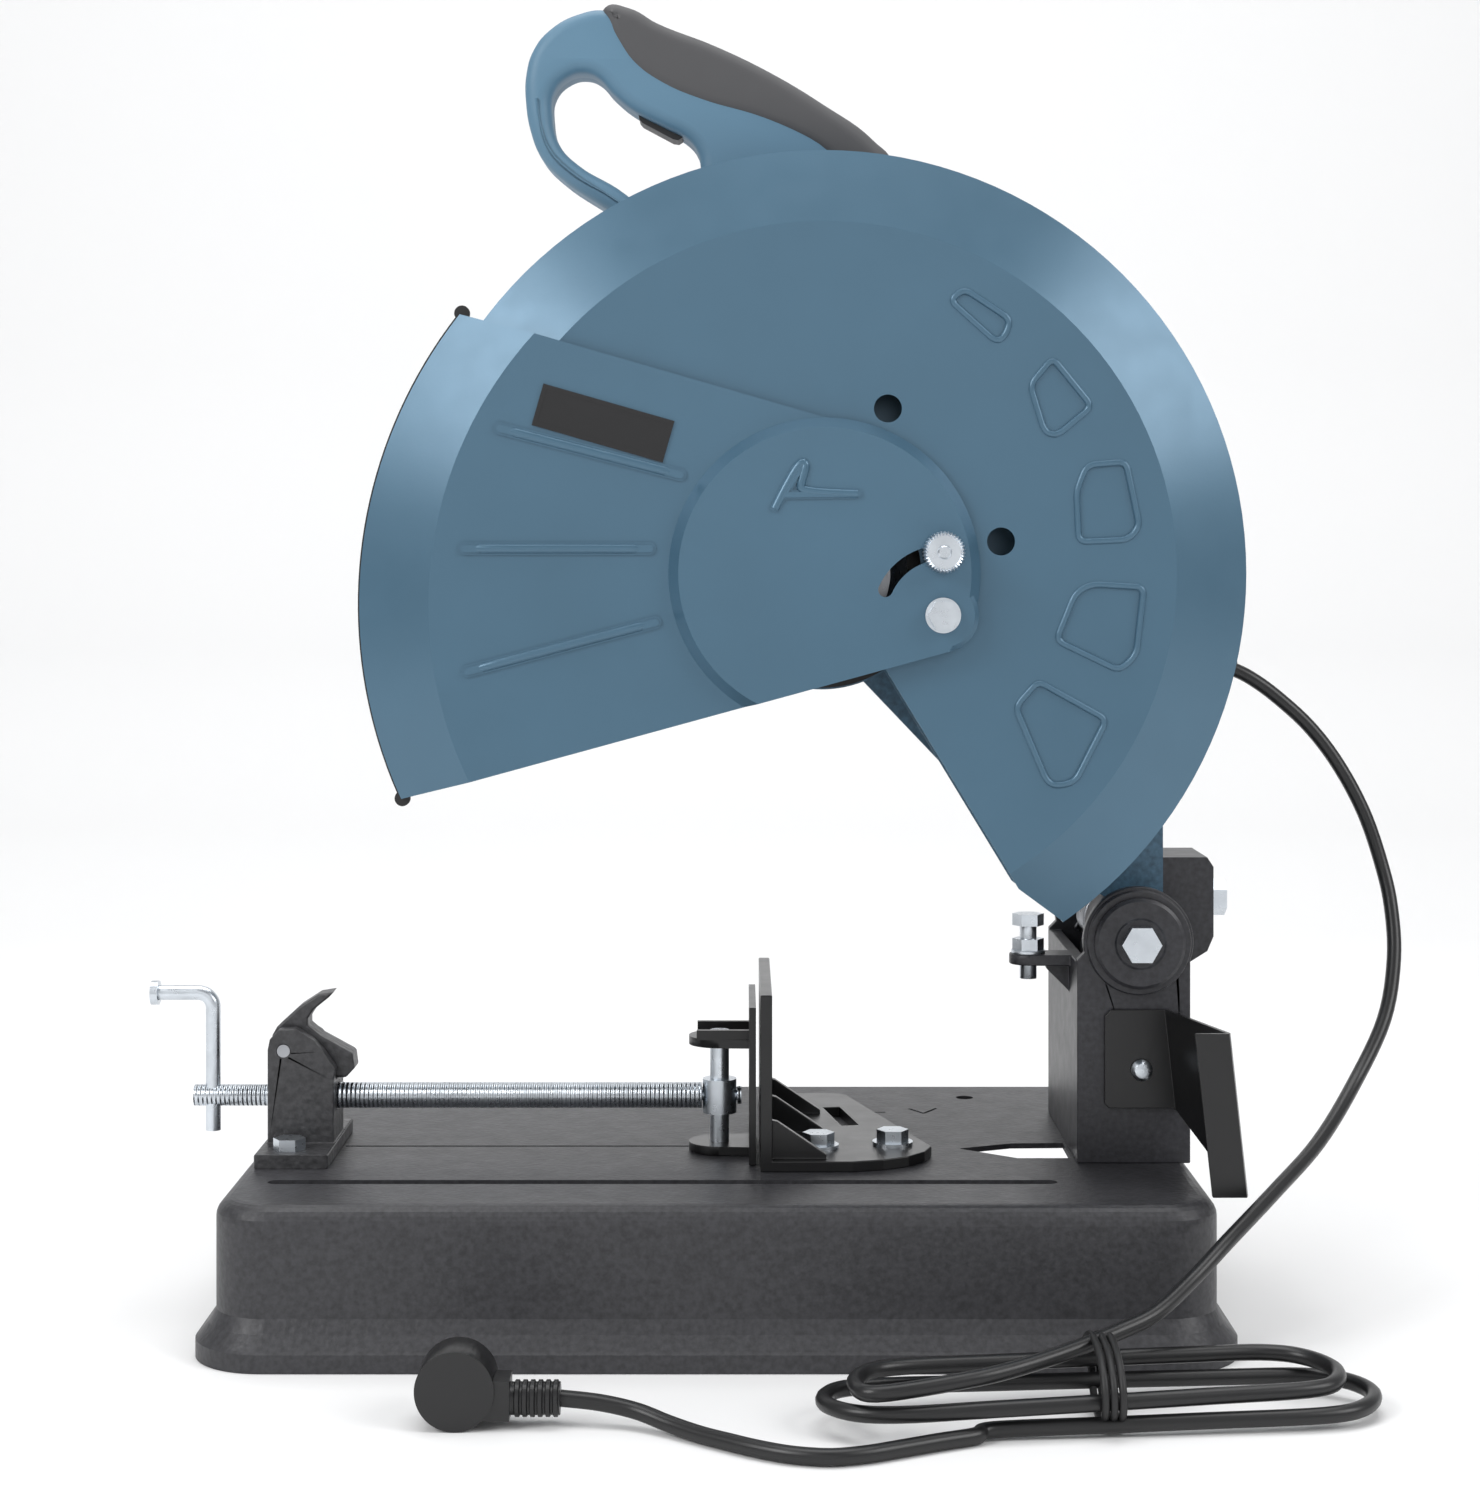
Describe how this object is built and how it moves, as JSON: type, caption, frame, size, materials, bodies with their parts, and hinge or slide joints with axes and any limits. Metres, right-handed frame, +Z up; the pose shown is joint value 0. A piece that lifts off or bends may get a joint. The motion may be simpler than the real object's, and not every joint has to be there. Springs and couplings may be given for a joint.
{
  "type": "abrasive chop saw",
  "caption": "Bench chop saw for abrasive wheels: pressed base, screw vise and fence, hinged head with motor, fixed and swinging wheel guards, D handle and tied power cord.",
  "frame": {"origin": "on the floor, in the middle of the base pan", "axes": "+X from the vise crank to the hinge stand, +Y from the guard side to the motor side, +Z up"},
  "size_m": [0.5951, 0.4194, 0.6042],
  "materials": {
    "pan_paint": "hammered charcoal powder coat",
    "black_paint": "satin black",
    "casting": "hammered dark grey paint",
    "guard_paint": "satin steel blue",
    "head_paint": "satin steel blue paint on a casting",
    "case_plastic": "moulded blue-grey plastic",
    "grip_rubber": "soft overmould",
    "foot_rubber": "rubber",
    "black_plastic": "moulded black plastic",
    "zinc": "bright zinc plate",
    "steel": "ground steel",
    "copper": "copper segments",
    "carbon": "carbon",
    "cord_jacket": "black cord jacket"
  },
  "bodies": {
    "base": {"base_pan": "pan_paint", "rubber_feet": "foot_rubber", "hinge_stand": "black_paint", "pivot_shaft": "steel", "pivot_caps": "black_paint", "pivot_bolts": "zinc", "torsion_spring": "steel", "stop_bolt": "zinc", "fence": "black_paint", "fence_washers": "zinc", "table_bolts": "zinc", "vise_block": "casting", "lever_pin": "steel", "cord_lead": "cord_jacket", "cord_bundle": "cord_jacket", "cord_tail": "cord_jacket", "plug_body": "cord_jacket", "plug_pins": "zinc"},
    "deflector": {"spark_deflector": "black_paint"},
    "vise_lever": {"quick_release_lever": "casting"},
    "jaw_carrier": {"jaw_pin": "zinc"},
    "vise_screw": {"vise_spindle": "zinc", "crank_handle": "zinc"},
    "jaw": {"movable_jaw": "black_paint"},
    "head": {"gear_housing": "head_paint", "gear_cover": "head_paint", "pivot_arm": "black_paint", "arm_bolts": "zinc", "guard_front_shell": "guard_paint", "guard_back_shell": "guard_paint", "bearing_plate": "black_paint", "guard_hinge_bolt": "zinc", "handle_front_half": "case_plastic", "handle_rear_half": "case_plastic", "soft_grip": "grip_rubber", "switch_block": "black_plastic", "case_screws": "zinc", "ball_bearings": "steel", "motor_housing": "case_plastic", "end_cap": "black_plastic", "stator": "steel", "carbon_brushes": "carbon", "brush_caps": "black_plastic", "strain_relief": "cord_jacket"},
    "moving_guard": {"front_guard": "guard_paint", "front_guard_trim": "black_plastic", "badge_plate": "black_paint"},
    "guard_screw": {"thumb_screw": "zinc"},
    "wheel_drive": {"wheel_spindle": "steel", "spindle_gear": "steel", "inner_flange": "steel", "outer_flange": "steel", "arbor_bolt": "zinc"},
    "armature": {"armature_shaft": "steel", "armature_core": "steel", "commutator": "copper", "cooling_fan": "black_plastic"},
    "trigger": {"trigger": "black_plastic"},
    "lock_off": {"lock_off_button": "black_plastic"},
    "spindle_lock": {"spindle_lock": "black_plastic"}
  },
  "joints": [
    {"name": "head_tilt", "type": "hinge", "parent": "base", "child": "head", "pos_m": [0.195, 0, 0.1715], "axis": [0, -1, 0], "range_deg": [0, 28.5], "stiffness_Nm_per_rad": 13, "springref_deg": -74.48},
    {"name": "wheel_spin", "type": "hinge", "parent": "head", "child": "wheel_drive", "pos_m": [0.0475, -0.09, 0.3425], "axis": [0, 1, 0], "continuous": true},
    {"name": "armature_spin", "type": "hinge", "parent": "head", "child": "armature", "pos_m": [0.08953, 0, 0.36958], "axis": [0, 1, 0], "continuous": true},
    {"name": "guard_swing", "type": "hinge", "parent": "head", "child": "moving_guard", "pos_m": [0.0993, -0.119, 0.3242], "axis": [0, 1, 0], "range_deg": [0, 66]},
    {"name": "thumb_screw_turn", "type": "hinge", "parent": "head", "child": "guard_screw", "pos_m": [0.0993, -0.126, 0.3518], "axis": [0, 1, 0], "range_deg": [0, 360]},
    {"name": "trigger_press", "type": "slide", "parent": "head", "child": "trigger", "axis": [0.471, 0, 0.8821], "range_m": [0, 0.0045], "stiffness_N_per_m": 900, "springref_m": -0.003},
    {"name": "lock_off_press", "type": "slide", "parent": "head", "child": "lock_off", "axis": [0, -1, 0], "range_m": [0, 0.003], "stiffness_N_per_m": 600, "springref_m": -0.002},
    {"name": "spindle_lock_press", "type": "slide", "parent": "head", "child": "spindle_lock", "axis": [1, 0, 0], "range_m": [0, 0.004], "stiffness_N_per_m": 800, "springref_m": -0.002},
    {"name": "crank_spin", "type": "hinge", "parent": "jaw_carrier", "child": "vise_screw", "pos_m": [0.0006, -0.023, 0.095], "axis": [1, 0, 0], "range_deg": [-7200, 0]},
    {"name": "vise_slide", "type": "slide", "parent": "base", "child": "jaw_carrier", "axis": [1, 0, 0], "range_m": [-0.12, 0]},
    {"name": "jaw_swivel", "type": "hinge", "parent": "jaw_carrier", "child": "jaw", "pos_m": [0.0006, -0.023, 0.095], "axis": [0, 0, 1], "range_deg": [-2.5, 2.5]},
    {"name": "release_lever", "type": "hinge", "parent": "base", "child": "vise_lever", "pos_m": [-0.2035, -0.023, 0.1186], "axis": [0, -1, 0], "range_deg": [0, 60]},
    {"name": "deflector_tilt", "type": "hinge", "parent": "base", "child": "deflector", "pos_m": [0.1959, -0.053, 0.1128], "axis": [0, -1, 0], "range_deg": [0, 10]}
  ],
  "couplings": [
    {"joint": "armature_spin", "follows": "wheel_spin", "ratio": -4},
    {"joint": "vise_slide", "follows": "crank_spin", "m_per_rad": 0.00095493}
  ]
}
